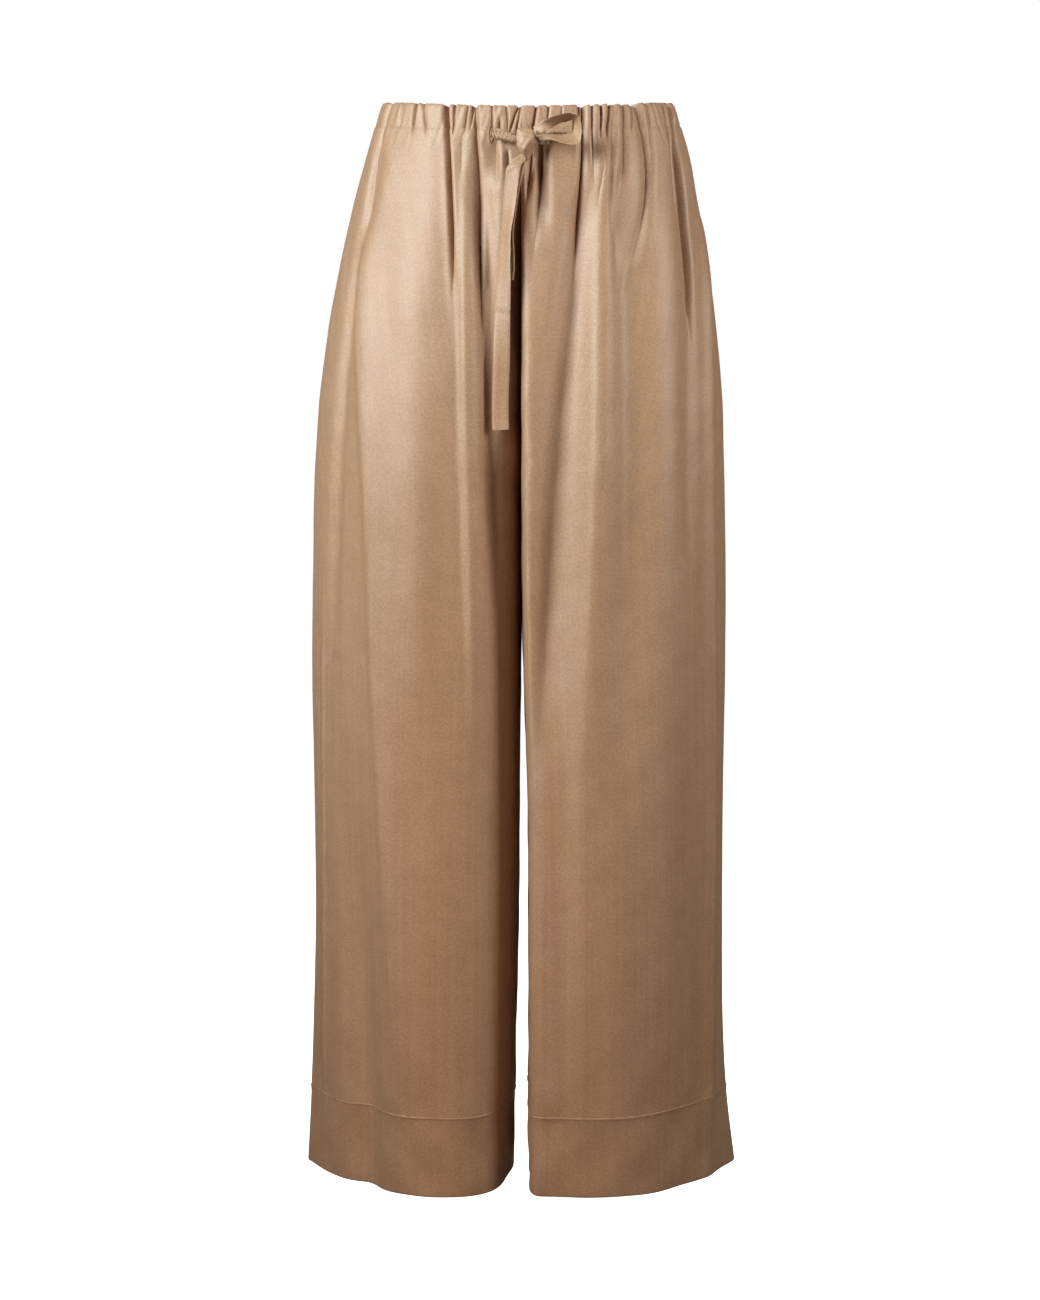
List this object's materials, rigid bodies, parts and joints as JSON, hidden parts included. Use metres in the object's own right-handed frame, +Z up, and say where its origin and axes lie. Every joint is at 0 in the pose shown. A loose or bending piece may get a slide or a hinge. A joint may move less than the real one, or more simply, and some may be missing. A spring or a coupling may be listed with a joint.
{
  "type": "wide-leg trousers",
  "caption": "Wide-leg satin trousers in worn, hollow form, with a gathered elastic waist, a self-fabric tie bow at the front and deep hem bands.",
  "frame": {"origin": "middle of the waist opening, half way up the elastic casing", "axes": "+Z up, -Y towards the garment's front, +X towards the wearer's left leg"},
  "size_m": [0.4205, 0.2616, 1.02],
  "materials": {
    "satin": "tan satin with a soft directional sheen",
    "thread": "matt sewing thread in the cloth's colour"
  },
  "bodies": {
    "root": {"waist_casing_front": "satin", "waist_casing_back": "satin", "right_front_panel": "satin", "left_front_panel": "satin", "right_back_panel": "satin", "left_back_panel": "satin", "right_front_hem": "satin", "left_front_hem": "satin", "right_back_hem": "satin", "left_back_hem": "satin", "buttonhole_right": "thread", "buttonhole_left": "thread", "tie_lead_right": "satin", "tie_lead_left": "satin", "tie_knot": "satin", "tie_loop": "satin", "tie_long_end": "satin", "tie_short_end": "satin"}
  },
  "joints": []
}
